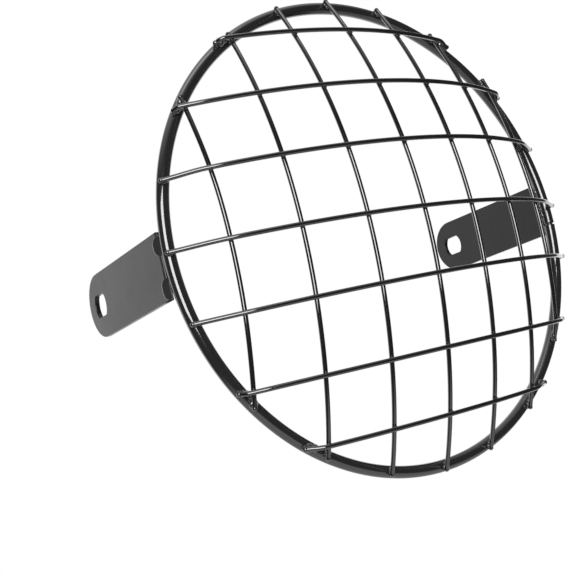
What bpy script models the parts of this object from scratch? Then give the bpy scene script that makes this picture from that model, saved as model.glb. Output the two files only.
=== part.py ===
"""Welded wire guard for a round motorcycle headlight.

A ring of round steel rod carries a domed grid of thin upright and cross wires,
whose ends are bent over the rim and spot-welded to it. Two flat brackets with a
slot reach back from the sides of the ring and bolt to the headlight's ears.

The ring lies in the X-Z plane, centred on the origin. The dome bulges towards
-Y, the brackets reach back towards +Y, and +Z is up.
"""

import math

import bmesh
import bpy
from mathutils import Matrix, Vector

# Driving dimensions, in metres
RING_OUTSIDE_DIAMETER = 0.200
ROD_DIAMETER = 0.0048
WIRE_DIAMETER = 0.0018
DOME_DEPTH = 0.0288

# Each row is evenly spaced, with its outermost wires this far inside the
# ring's centre line, and its middle wire this far off the guard's middle
WIRES_PER_ROW = 7
UPRIGHT_EDGE_INSET = 0.0211
CROSS_EDGE_INSET = 0.0187
UPRIGHT_ROW_CENTRE = -0.0039
CROSS_ROW_CENTRE = 0.0007

# The wires are laid by hand: how far each one lies off its even place, in
# metres, and how much it slants, in degrees. Uprights run from left to right
# and cross wires from top to bottom.
UPRIGHT_DRIFT = (0.0007, -0.0004, -0.0004, -0.0004, -0.0002, 0.0008, 0.0002)
UPRIGHT_SLANT = (0.0, 0.7, 0.6, 0.3, 0.5, 0.0, -0.4)
CROSS_DRIFT = (-0.0004, -0.0003, 0.0002, -0.0005, 0.0006, -0.0004, 0.0013)
CROSS_SLANT = (0.8, 1.1, 0.7, -0.1, 0.2, -0.4, -0.9)

# How far the uprights' ends splay outwards round the ring, in degrees
UPRIGHT_TOP_SPLAY = (1.6, 0.7, 0.8, 0.4, 0.0, 1.4, 3.2)
UPRIGHT_BOTTOM_SPLAY = (0.8, 0.0, 0.0, 0.0, 0.0, 0.5, 1.3)

# How far each end is bent over the rim, measured round the rod from its front,
# in degrees; the last upright is cut off at its bottom before it would bend
UPRIGHT_TOP_WRAP = 36.0
UPRIGHT_BOTTOM_WRAP = 34.0
LAST_UPRIGHT_BOTTOM_WRAP = -10.0
CROSS_LEFT_WRAP = 46.0
CROSS_RIGHT_WRAP = 40.0

# Brackets: a flat strap with a full round end, a little narrower at the ring,
# and a slot that is a round hole with a flat above and below
BRACKET_THICKNESS = 0.0020
BRACKET_WIDTH = 0.0265
BRACKET_TAPER = 0.0020
BRACKET_REACH = 0.0680
BRACKET_TOE_OUT = 2.0
LEFT_BRACKET_HEIGHT = -0.0028
RIGHT_BRACKET_HEIGHT = 0.0
SLOT_LENGTH = 0.0124
SLOT_WIDTH = 0.0092

# Weld beads at the bracket's upper and lower front corners
BEAD_LENGTH = 0.0076
BEAD_WIDTH = 0.0052
BEAD_HEIGHT = 0.0018
BEAD_INSET = 0.0040

# What touches keeps this clearance
JOINT_GAP = 0.0003

# Facets
RING_SEGMENTS = 96
ROD_SIDES = 12
DOME_STEPS = 26
BEND_STEPS = 5
ARC_STEPS = 12
BEAD_SEGMENTS = 16
BEAD_RINGS = 10

# Sizes that follow from the driving dimensions
ROD_RADIUS = ROD_DIAMETER / 2
WIRE_RADIUS = WIRE_DIAMETER / 2
RING_RADIUS = RING_OUTSIDE_DIAMETER / 2 - ROD_RADIUS
SEAT_RADIUS = ROD_RADIUS + JOINT_GAP + WIRE_RADIUS
ROW_STANDOFF = WIRE_DIAMETER + JOINT_GAP
WIRES_EACH_SIDE = (WIRES_PER_ROW - 1) / 2
UPRIGHT_PITCH = (RING_RADIUS - UPRIGHT_EDGE_INSET) / WIRES_EACH_SIDE
CROSS_PITCH = (RING_RADIUS - CROSS_EDGE_INSET) / WIRES_EACH_SIDE
BRACKET_FRONT_WIDTH = BRACKET_WIDTH - BRACKET_TAPER

PAINT_COLOUR = (0.012, 0.012, 0.013, 1.0)
PAINT_ROUGHNESS = 0.28


def clear_scene():
    """Remove whatever the scene holds."""
    for item in list(bpy.data.objects):
        bpy.data.objects.remove(item, do_unlink=True)


def black_paint(name):
    """Gloss black enamel over steel, one material for each sub-part."""
    material = bpy.data.materials.new(name + "_paint")
    material.use_nodes = True
    shader = material.node_tree.nodes["Principled BSDF"]
    shader.inputs["Base Color"].default_value = PAINT_COLOUR
    shader.inputs["Roughness"].default_value = PAINT_ROUGHNESS
    shader.inputs["Metallic"].default_value = 0.0
    return material


def add_part(name, data, parent):
    """Link one named sub-part to the scene with its own paint."""
    part = bpy.data.objects.new(name, data)
    data.materials.append(black_paint(name))
    bpy.context.scene.collection.objects.link(part)
    part.parent = parent
    return part


def as_guide(cutter):
    """Mark an object as a cutter that is never part of the guard."""
    cutter.hide_render = True
    cutter.display_type = "WIRE"
    return cutter


def torus_mesh(name, tube_radius):
    """Return the ring's torus, with the given tube radius, in the X-Z plane."""
    mesh = bpy.data.meshes.new(name)
    shape = bmesh.new()
    section = []
    for side in range(ROD_SIDES):
        angle = 2 * math.pi * side / ROD_SIDES
        place = Vector((RING_RADIUS + tube_radius * math.sin(angle), -tube_radius * math.cos(angle), 0.0))
        section.append(shape.verts.new(place))
    edges = [shape.edges.new((section[k], section[(k + 1) % ROD_SIDES])) for k in range(ROD_SIDES)]
    bmesh.ops.spin(
        shape,
        geom=section + edges,
        cent=(0, 0, 0),
        axis=(0, 1, 0),
        angle=2 * math.pi,
        steps=RING_SEGMENTS,
        use_merge=True,
    )
    bmesh.ops.recalc_face_normals(shape, faces=shape.faces)
    shape.to_mesh(mesh)
    shape.free()
    mesh.shade_smooth()
    return mesh


class DomeProfile:
    """The curve that every wire follows, seen from the side of the guard.

    A point is (reach, depth): the distance from the guard's axis, and Y. The
    dome is part of a sphere that runs tangent into an arc round the rod, so a
    wire lies on the rim and then bends over it.
    """

    def __init__(self):
        rise = DOME_DEPTH
        self.sphere_radius = (RING_RADIUS**2 + rise**2 - SEAT_RADIUS**2) / (2 * (rise - SEAT_RADIUS))
        self.sphere_centre = self.sphere_radius - rise
        self.seat_angle = math.asin(RING_RADIUS / (self.sphere_radius - SEAT_RADIUS))

    def on_dome(self, reach, standoff):
        """Point on the sphere, lifted off it by standoff."""
        angle = math.asin(reach / self.sphere_radius)
        radius = self.sphere_radius + standoff
        return radius * math.sin(angle), self.sphere_centre - radius * math.cos(angle)

    def on_rim(self, angle, standoff):
        """Point round the rod, at an angle from its front towards its outside."""
        radius = SEAT_RADIUS + standoff
        return RING_RADIUS + radius * math.sin(angle), -radius * math.cos(angle)

    def over_rim(self, angle):
        """Reach of the dome over a point round the rod, and its height there."""
        reach, depth = self.on_rim(angle, 0.0)
        to_centre = math.hypot(reach, self.sphere_centre - depth)
        return self.sphere_radius * reach / to_centre, self.sphere_radius - to_centre


def smooth_fall(share):
    """Fall from 1 to 0 with a level start and end."""
    share = min(max(share, 0.0), 1.0)
    return 1.0 - share * share * (3.0 - 2.0 * share)


class Wire:
    """One wire of the grid, along a chord of the ring.

    Its offset is its distance from the guard's middle plane, and its run is
    the distance along it from the other middle plane. Its two ends, of which
    the first is at negative run, have their own wrap and splay.
    """

    def __init__(self, name, upright, offset, slant, wraps, splays):
        self.name = name
        self.upright = upright
        self.offset = offset
        self.slant = slant
        self.wraps = wraps
        self.splays = splays
        self.standoff = 0.0 if upright else ROW_STANDOFF

    def run_at(self, reach):
        """Run at which the wire comes to the given reach."""
        return math.sqrt(reach**2 - self.offset**2)

    def splayed(self, side, run, offset):
        """Turn a point outwards round the guard's axis, more towards the rim."""
        splay = math.radians(self.splays[side > 0])
        angle = splay * (1.0 - smooth_fall(run / self.run_at(RING_RADIUS)))
        sign = math.copysign(1.0, offset)
        turned_run = run * math.cos(angle) - abs(offset) * math.sin(angle)
        return turned_run, sign * (abs(offset) * math.cos(angle) + run * math.sin(angle))

    def half_path(self, profile, side, last_crossing):
        """Points (run, offset, depth) from the middle out to one cut end.

        A cross wire keeps its standoff past the last upright that it crosses,
        and comes down to the rim over the rest of its length. A wire that is
        cut off before the dome meets the rim sinks to the rod's front instead.
        """
        wrap_angle = math.radians(self.wraps[side > 0])
        dome_reach, sink = profile.over_rim(min(wrap_angle, profile.seat_angle))
        level_run = last_crossing + WIRE_RADIUS
        end_run = self.run_at(max(dome_reach, profile.on_rim(wrap_angle, 0.0)[0]))
        points = []
        for step in range(DOME_STEPS // 2 + 1):
            run = self.run_at(dome_reach) * math.sin(math.pi / 2 * step / (DOME_STEPS // 2))
            fall = smooth_fall((run - level_run) / (end_run - level_run))
            height = (self.standoff + sink) * fall - sink
            reach = math.hypot(run, self.offset)
            lifted, depth = profile.on_dome(reach, height)
            points.append((*self.splayed(side, run * lifted / reach, self.offset * lifted / reach), depth))
        if wrap_angle <= profile.seat_angle:
            return points
        for step in range(1, BEND_STEPS + 1):
            angle = profile.seat_angle + (wrap_angle - profile.seat_angle) * step / BEND_STEPS
            reach = profile.on_rim(angle, 0.0)[0]
            run = self.run_at(reach)
            height = self.standoff * smooth_fall((run - level_run) / (end_run - level_run))
            lifted, depth = profile.on_rim(angle, height)
            points.append((*self.splayed(side, run * lifted / reach, self.offset * lifted / reach), depth))
        return points


def wire_curve(name, points):
    """Return a round wire that runs through the given points."""
    curve = bpy.data.curves.new(name, "CURVE")
    curve.dimensions = "3D"
    curve.bevel_depth = WIRE_RADIUS
    curve.bevel_resolution = 2
    curve.use_fill_caps = True
    spline = curve.splines.new("POLY")
    spline.points.add(len(points) - 1)
    for knot, place in zip(spline.points, points):
        knot.co = (place.x, place.y, place.z, 1.0)
    return curve


def upright_row():
    """The uprights, from left to right; they lie on the rim."""
    wires = []
    for k in range(WIRES_PER_ROW):
        place = k - WIRES_EACH_SIDE
        offset = UPRIGHT_ROW_CENTRE + UPRIGHT_PITCH * place + UPRIGHT_DRIFT[k]
        last = k == WIRES_PER_ROW - 1
        wraps = (LAST_UPRIGHT_BOTTOM_WRAP if last else UPRIGHT_BOTTOM_WRAP, UPRIGHT_TOP_WRAP)
        splays = (UPRIGHT_BOTTOM_SPLAY[k], UPRIGHT_TOP_SPLAY[k])
        wires.append(Wire(f"wire_v{k + 1}", True, offset, UPRIGHT_SLANT[k], wraps, splays))
    return wires


def cross_row():
    """The cross wires, from top to bottom; they lie over the uprights."""
    wires = []
    for k in range(WIRES_PER_ROW):
        place = WIRES_EACH_SIDE - k
        offset = CROSS_ROW_CENTRE + CROSS_PITCH * place + CROSS_DRIFT[k]
        wraps = (CROSS_LEFT_WRAP, CROSS_RIGHT_WRAP)
        wires.append(Wire(f"wire_h{k + 1}", False, offset, -CROSS_SLANT[k], wraps, (0.0, 0.0)))
    return wires


def last_crossing(wire, others, side):
    """Run to the last wire that this one crosses within the ring, on one side."""
    runs = []
    for other in others:
        if math.hypot(other.offset, wire.offset) < RING_RADIUS:
            place = other.splayed(wire.offset, abs(wire.offset), other.offset)[1]
            runs.append(place * side)
    return max(runs)


def add_wire(wire, others, profile, parent):
    """Add one wire, joined from its two halves and turned by its slant."""
    halves = []
    for side in (-1, 1):
        half = wire.half_path(profile, side, last_crossing(wire, others, side))
        halves.append([(side * run, offset, depth) for run, offset, depth in half])
    before, after = halves
    places = []
    for run, offset, depth in before[::-1] + after[1:]:
        places.append(Vector((offset, depth, run)) if wire.upright else Vector((run, depth, offset)))
    turn = Matrix.Rotation(math.radians(wire.slant), 3, "Y")
    return add_part(wire.name, wire_curve(wire.name, [turn @ place for place in places]), parent)


def add_wires(parent):
    """Add the domed grid of uprights and cross wires."""
    profile = DomeProfile()
    uprights = upright_row()
    crosses = cross_row()
    for wire in uprights:
        add_wire(wire, crosses, profile, parent)
    for wire in crosses:
        add_wire(wire, uprights, profile, parent)


def bracket_outline(margin):
    """Outline of the strap with its full round end, grown by margin.

    X runs back along the bracket from the ring's plane and Y runs up.
    """
    front = ROD_RADIUS + JOINT_GAP - margin
    half = BRACKET_WIDTH / 2 + margin
    front_half = BRACKET_FRONT_WIDTH / 2 + margin
    points = [Vector((front, -front_half)), Vector((front, front_half))]
    for step in range(2 * ARC_STEPS + 1):
        angle = math.pi / 2 - math.pi * step / (2 * ARC_STEPS)
        points.append(Vector((BRACKET_REACH + half * math.cos(angle), half * math.sin(angle))))
    return points


def slot_outline():
    """Outline of the slot: a round hole cut off by two level flats."""
    radius = SLOT_LENGTH / 2
    reach = math.asin(SLOT_WIDTH / SLOT_LENGTH)
    points = []
    for turn in (0.0, math.pi):
        for step in range(ARC_STEPS + 1):
            angle = turn - reach + 2 * reach * step / ARC_STEPS
            points.append(Vector((BRACKET_REACH + radius * math.cos(angle), radius * math.sin(angle))))
    return points


def plate_mesh(name, outline, inner, outer):
    """Extrude an outline between two X planes; outline X becomes Y, and Y becomes Z."""
    mesh = bpy.data.meshes.new(name)
    shape = bmesh.new()
    face = shape.faces.new([shape.verts.new((inner, point.x, point.y)) for point in outline])
    grown = bmesh.ops.extrude_face_region(shape, geom=[face])
    moved = [item for item in grown["geom"] if isinstance(item, bmesh.types.BMVert)]
    bmesh.ops.translate(shape, verts=moved, vec=(outer - inner, 0, 0))
    bmesh.ops.recalc_face_normals(shape, faces=shape.faces)
    shape.to_mesh(mesh)
    shape.free()
    return mesh


def place_at_side(item, side, height):
    """Stand a bracket, or its cutter, at the side of the ring with its toe out."""
    item.location = (side * RING_OUTSIDE_DIAMETER / 2, 0.0, height)
    item.rotation_euler = (0.0, 0.0, -side * math.radians(BRACKET_TOE_OUT))


def cut(target, cutter):
    """Take a cutter out of a part."""
    modifier = target.modifiers.new(cutter.name, "BOOLEAN")
    modifier.operation = "DIFFERENCE"
    modifier.solver = "EXACT"
    modifier.object = cutter


def add_cutter(name, mesh, parent):
    """Link a cutter, which the guard itself leaves out."""
    cutter = bpy.data.objects.new(name, mesh)
    bpy.context.scene.collection.objects.link(cutter)
    cutter.parent = parent
    return as_guide(cutter)


def add_bracket(name, parent, side, height):
    """Add one flat bracket with its slot; side is -1 on the left and 1 on the right."""
    inner = -side * BRACKET_THICKNESS
    bracket = add_part(name, plate_mesh(name, bracket_outline(0.0), inner, 0.0), parent)
    slot = add_cutter(name + "_slot", plate_mesh(name + "_slot", slot_outline(), 2 * inner, -inner), parent)
    place_at_side(bracket, side, height)
    place_at_side(slot, side, height)
    cut(bracket, slot)
    return bracket


def bead_mesh(name):
    """A lens of weld metal, longest along Z and flattest along X."""
    mesh = bpy.data.meshes.new(name)
    shape = bmesh.new()
    bmesh.ops.create_uvsphere(shape, u_segments=BEAD_SEGMENTS, v_segments=BEAD_RINGS, radius=1.0)
    half_size = (BEAD_HEIGHT, BEAD_WIDTH / 2, BEAD_LENGTH / 2)
    bmesh.ops.scale(shape, vec=half_size, verts=shape.verts)
    shape.to_mesh(mesh)
    shape.free()
    mesh.shade_smooth()
    return mesh


def add_beads(parent, side, height, side_name, ring_cutter):
    """Add the two weld beads that hold one bracket to the ring.

    Each bead lies in the corner between the rod and the bracket's outer face,
    and is cut back from both by the joint gap.
    """
    inner = -side * (BRACKET_THICKNESS + JOINT_GAP)
    outer = side * JOINT_GAP
    name = f"bracket_{side_name}_clearance"
    clearance = add_cutter(name, plate_mesh(name, bracket_outline(JOINT_GAP), inner, outer), parent)
    place_at_side(clearance, side, height)
    rise = BRACKET_FRONT_WIDTH / 2 - BEAD_INSET
    for level, up in (("upper", 1), ("lower", -1)):
        name = f"weld_{side_name}_{level}"
        bead = add_part(name, bead_mesh(name), parent)
        face = RING_OUTSIDE_DIAMETER / 2 + JOINT_GAP
        bead.location = (side * face, ROD_RADIUS + JOINT_GAP, height + up * rise)
        cut(bead, ring_cutter)
        cut(bead, clearance)


def build_guard():
    """Build the whole guard under one empty at the ring's centre."""
    clear_scene()
    guard = bpy.data.objects.new("guard", None)
    bpy.context.scene.collection.objects.link(guard)
    add_part("ring", torus_mesh("ring", ROD_RADIUS), guard)
    add_wires(guard)
    ring_mesh = torus_mesh("ring_clearance", ROD_RADIUS + JOINT_GAP)
    ring_cutter = add_cutter("ring_clearance", ring_mesh, guard)
    sides = (("left", -1, LEFT_BRACKET_HEIGHT), ("right", 1, RIGHT_BRACKET_HEIGHT))
    for side_name, side, height in sides:
        add_bracket(f"bracket_{side_name}", guard, side, height)
        add_beads(guard, side, height, side_name, ring_cutter)


build_guard()
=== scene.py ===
"""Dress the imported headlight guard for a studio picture.

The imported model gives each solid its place. The classes below build one
sub-assembly each over those solids, in metres and in the same frame: the ring
lies in the X-Z plane round the origin, the dome bulges towards -Y and the
brackets reach back towards +Y.
"""

from __future__ import annotations

import logging
import math
from dataclasses import dataclass, field
from enum import Enum

import bmesh
import bpy
from mathutils import Euler, Matrix, Vector


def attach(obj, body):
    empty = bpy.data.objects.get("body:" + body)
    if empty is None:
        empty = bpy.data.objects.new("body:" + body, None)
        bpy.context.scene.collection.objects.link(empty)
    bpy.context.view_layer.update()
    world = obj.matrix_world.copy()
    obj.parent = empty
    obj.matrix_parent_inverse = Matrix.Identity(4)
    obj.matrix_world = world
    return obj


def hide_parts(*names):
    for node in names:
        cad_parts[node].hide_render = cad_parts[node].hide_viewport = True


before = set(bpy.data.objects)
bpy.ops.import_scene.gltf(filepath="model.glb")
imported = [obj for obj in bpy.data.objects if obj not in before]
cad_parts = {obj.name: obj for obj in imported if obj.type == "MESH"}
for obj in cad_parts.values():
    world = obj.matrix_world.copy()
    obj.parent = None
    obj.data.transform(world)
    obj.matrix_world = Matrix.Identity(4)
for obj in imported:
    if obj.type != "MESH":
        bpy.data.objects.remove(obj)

LOG = logging.getLogger("guard")

Node = bpy.types.Node
Socket = bpy.types.NodeSocket
Tree = bpy.types.NodeTree
Mesh = bpy.types.Mesh
Piece = bpy.types.Object
Material = bpy.types.Material
Shape = bmesh.types.BMesh
Edges = list[bmesh.types.BMEdge]


class Row(Enum):
    """The two rows of wires in the grid."""

    UPRIGHT = "v"
    CROSS = "h"


class Side(Enum):
    """The two sides of the guard that carry a bracket."""

    LEFT = -1
    RIGHT = 1

    @property
    def word(self) -> str:
        """Return the side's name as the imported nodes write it."""
        return self.name.lower()


class NodeDesk:
    """Places nodes in one tree, fills their sockets and joins them up."""

    pitch: tuple[float, float] = (190.0, -140.0)  # from node to node, across and down
    levels: int = 3  # heights at which the nodes stand

    def __init__(self, tree: Tree) -> None:
        """Start on a tree, with the first node at its left."""
        self.tree = tree
        self.column = 0

    def add(self, kind: str, settings: dict[str, object] | None = None, **values: object) -> Node:
        """Add one node and fill its sockets.

        Args:
            kind: The node's type identifier.
            settings: Properties of the node itself, set before its sockets.
            **values: What its sockets get, written as for fill.

        Returns:
            The new node.
        """
        node = self.tree.nodes.new(kind)
        across, down = self.pitch
        node.location = (across * self.column, down * (self.column % self.levels))
        self.column += 1
        for name, value in (settings or {}).items():
            setattr(node, name, value)
        return self.fill(node, **values)

    def fill(self, node: Node, **values: object) -> Node:
        """Fill a node's sockets by name.

        Args:
            node: The node.
            **values: Socket names, with underscores for spaces, and for each a
                plain value or the output socket that feeds it.

        Returns:
            The same node.
        """
        for name, value in values.items():
            label = name.replace("_", " ")
            socket = next(item for item in node.inputs if item.name == label and item.enabled)
            self.feed(socket, value)
        return node

    def feed(self, socket: Socket, value: object) -> None:
        """Link an output socket to an input, or set the input's own value.

        Args:
            socket: The input to fill.
            value: An output socket, or a plain value.
        """
        if isinstance(value, Socket):
            self.tree.links.new(value, socket)
        else:
            socket.default_value = value

    def math(self, operation: str, *terms: object) -> Socket:
        """Add one Math node.

        Args:
            operation: The node's operation.
            *terms: Values or sockets for its inputs, in order.

        Returns:
            The node's output.
        """
        node = self.add("ShaderNodeMath", {"operation": operation})
        for socket, term in zip(node.inputs, terms):
            self.feed(socket, term)
        return node.outputs[0]

    def ramp(
        self,
        value: Socket,
        start: float,
        end: float,
        low: object = 0.0,
        high: object = 1.0,
        kind: str = "LINEAR",
    ) -> Socket:
        """Add a ramp between two levels.

        Args:
            value: The socket that drives it.
            start: Value at which it leaves the low level.
            end: Value at which it reaches the high level.
            low: Value or socket for the level before the start.
            high: Value or socket for the level after the end.
            kind: How it runs from one level to the other.

        Returns:
            The ramp's output.
        """
        ends = {"From_Min": start, "From_Max": end, "To_Min": low, "To_Max": high}
        node = self.add("ShaderNodeMapRange", {"interpolation_type": kind}, Value=value, **ends)
        return node.outputs["Result"]

    def noise(self, **values: object) -> Socket:
        """Add one Noise Texture node, in four dimensions where W is given."""
        settings = {"noise_dimensions": "4D" if "W" in values else "3D"}
        return self.add("ShaderNodeTexNoise", settings, **values).outputs["Fac"]

    def group(self, tree: Tree, **values: object) -> Socket:
        """Add one of the shared groups and return its output."""
        return self.add("ShaderNodeGroup", {"node_tree": tree}, **values).outputs[0]


class GroupDesk(NodeDesk):
    """A desk on a new node group, with the sockets that it is given and its result."""

    def __init__(
        self,
        name: str,
        kind: str,
        inputs: dict[str, tuple[str, object]],
        output: tuple[str, str],
    ) -> None:
        """Make the group.

        Args:
            name: The group's name.
            kind: Shader or Geometry.
            inputs: For each input, its kind of socket and its default value.
            output: The output's name and its kind of socket.
        """
        super().__init__(bpy.data.node_groups.new(name, kind + "NodeTree"))
        sockets = self.tree.interface
        for label, (word, value) in inputs.items():
            socket = sockets.new_socket(label, in_out="INPUT", socket_type="NodeSocket" + word)
            if value is not None:
                socket.default_value = value
        sockets.new_socket(output[0], in_out="OUTPUT", socket_type="NodeSocket" + output[1])
        self.given = self.add("NodeGroupInput").outputs

    def close(self, result: Socket) -> Tree:
        """Put a socket out as the group's result, and return the group."""
        self.feed(self.add("NodeGroupOutput").inputs[0], result)
        return self.tree


class FinishGroups:
    """The shader node groups that the finishes share."""

    grain_ratio: float = 4.5  # how much finer the grit is than the peel
    cloud_levels: tuple[float, float] = (0.35, 0.68)  # of the noise, between smooth and dull
    speck_levels: tuple[float, float] = (0.66, 0.78)  # of the noise, at a speck's rim and middle
    facing_levels: tuple[float, float] = (-0.2, 1.0)  # Z of a face's normal, low and high
    facing_shares: tuple[float, float] = (0.25, 1.0)  # share of the dust that lies there

    def __init__(self) -> None:
        """Build each group once."""
        self.peel = self.build_peel()
        self.mottle = self.build_mottle()
        self.dust = self.build_dust()

    def build_peel(self) -> Tree:
        """Orange peel of sprayed enamel.

        Returns:
            A group that turns a place into the height of a fine, uneven skin.
        """
        inputs = {"Place": ("Vector", None), "Waves": ("Float", 900.0), "Grit": ("Float", 0.2)}
        desk = GroupDesk("enamel_peel", "Shader", inputs, ("Height", "Float"))
        place, waves = desk.given["Place"], desk.given["Waves"]
        swell = desk.noise(Vector=place, Scale=waves, Detail=1.5, Roughness=0.4)
        fine = desk.math("MULTIPLY", waves, self.grain_ratio)
        grain = desk.noise(Vector=place, Scale=fine, Detail=2.0, Roughness=0.55)
        return desk.close(desk.math("ADD", swell, desk.math("MULTIPLY", grain, desk.given["Grit"])))

    def build_mottle(self) -> Tree:
        """Slow changes of gloss where the spray lay thinner or thicker.

        Returns:
            A group that gives a roughness between two values.
        """
        inputs = {
            "Place": ("Vector", None),
            "Patches": ("Float", 60.0),
            "Smooth": ("Float", 0.2),
            "Dull": ("Float", 0.35),
        }
        desk = GroupDesk("enamel_mottle", "Shader", inputs, ("Roughness", "Float"))
        given = desk.given
        cloud = desk.noise(Vector=given["Place"], Scale=given["Patches"], Detail=4.0, Roughness=0.6)
        spread = desk.ramp(cloud, *self.cloud_levels)
        return desk.close(desk.ramp(spread, 0.0, 1.0, given["Smooth"], given["Dull"]))

    def build_dust(self) -> Tree:
        """Fine specks of dust, more of them on faces that look up.

        Returns:
            A group that gives the share of dust at a place.
        """
        inputs = {
            "Place": ("Vector", None),
            "Facing": ("Vector", None),
            "Specks": ("Float", 2600.0),
            "Amount": ("Float", 0.2),
        }
        desk = GroupDesk("settled_dust", "Shader", inputs, ("Mask", "Float"))
        given = desk.given
        height = desk.add("ShaderNodeSeparateXYZ", Vector=given["Facing"]).outputs["Z"]
        upward = desk.ramp(height, *self.facing_levels, *self.facing_shares)
        grain = desk.noise(Vector=given["Place"], Scale=given["Specks"], Detail=1.0)
        share = desk.math("MULTIPLY", desk.ramp(grain, *self.speck_levels), upward)
        return desk.close(desk.math("MULTIPLY", share, given["Amount"]))


@dataclass(frozen=True)
class EnamelFinish:
    """Gloss black enamel over steel, with its own peel, gloss and dust."""

    name: str
    colour: tuple[float, float, float] = (0.0060, 0.0060, 0.0065)  # linear
    # Where the paint lies thin or is dusty.
    thin_colour: tuple[float, float, float] = (0.030, 0.029, 0.028)
    smooth: float = 0.20  # roughness where the paint flowed out
    dull: float = 0.32  # roughness where it lay dry
    patches: float = 70.0  # of gloss, per metre
    waves: float = 900.0  # of orange peel, per metre
    grit: float = 0.2  # share of fine grit in the peel
    depth: float = 0.00002  # of the peel, in metres
    dust: float = 0.05  # share of specks on faces that look up
    dust_dulling: float = 0.4  # how much rougher a speck is
    ior: float = 1.42  # of the paint
    coat: float = 0.0  # weight of the clear gloss over it
    coat_roughness: float = 0.06
    coat_ior: float = 1.8

    def material(self, groups: FinishGroups) -> Material:
        """Build the finish as a material.

        Args:
            groups: The shared shader node groups.

        Returns:
            The material, named after the finish.
        """
        material = bpy.data.materials.new(self.name)
        material.use_nodes = True
        desk = NodeDesk(material.node_tree)
        place = desk.add("ShaderNodeTexCoord").outputs["Object"]
        facing = desk.add("ShaderNodeNewGeometry").outputs["Normal"]
        gloss = {"Patches": self.patches, "Smooth": self.smooth, "Dull": self.dull}
        mottle = desk.group(groups.mottle, Place=place, **gloss)
        dust = desk.group(groups.dust, Place=place, Facing=facing, Amount=self.dust)
        peel = desk.group(groups.peel, Place=place, Waves=self.waves, Grit=self.grit)
        colours = {"A": (*self.colour, 1.0), "B": (*self.thin_colour, 1.0)}
        tint = desk.add("ShaderNodeMix", {"data_type": "RGBA"}, Factor=dust, **colours)
        bump = desk.add("ShaderNodeBump", Strength=1.0, Distance=self.depth, Height=peel)
        desk.fill(
            material.node_tree.nodes["Principled BSDF"],
            Base_Color=next(item for item in tint.outputs if item.type == "RGBA"),
            Roughness=desk.math("ADD", mottle, desk.math("MULTIPLY", dust, self.dust_dulling)),
            Normal=bump.outputs["Normal"],
            IOR=self.ior,
            Coat_Weight=self.coat,
            Coat_Roughness=self.coat_roughness,
            Coat_IOR=self.coat_ior,
        )
        return material


# The rod's colour is a lighter copy of the wires' black enamel: painted light, which lifts the
# ring's dark flanks as if they caught more reflected light.
ROD_ENAMEL = EnamelFinish(
    "rod_enamel",
    (0.014, 0.014, 0.015),
    smooth=0.12,
    dull=0.22,
    waves=220.0,
    grit=0.05,
    depth=0.000005,
    coat=1.0,
)
WIRE_ENAMEL = EnamelFinish(
    "wire_enamel",
    smooth=0.14,
    dull=0.24,
    waves=250.0,
    grit=0.05,
    depth=0.000003,
    ior=1.30,
    coat=1.0,
    coat_ior=1.95,
)
STRAP_ENAMEL = EnamelFinish(
    "strap_enamel", smooth=0.22, dull=0.32, waves=500.0, depth=0.000006, patches=45.0, ior=1.5
)
WELD_ENAMEL = EnamelFinish(
    "weld_enamel",
    (0.020, 0.020, 0.021),
    smooth=0.26,
    dull=0.40,
    waves=700.0,
    grit=0.3,
    depth=0.000008,
    coat=0.9,
)


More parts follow.
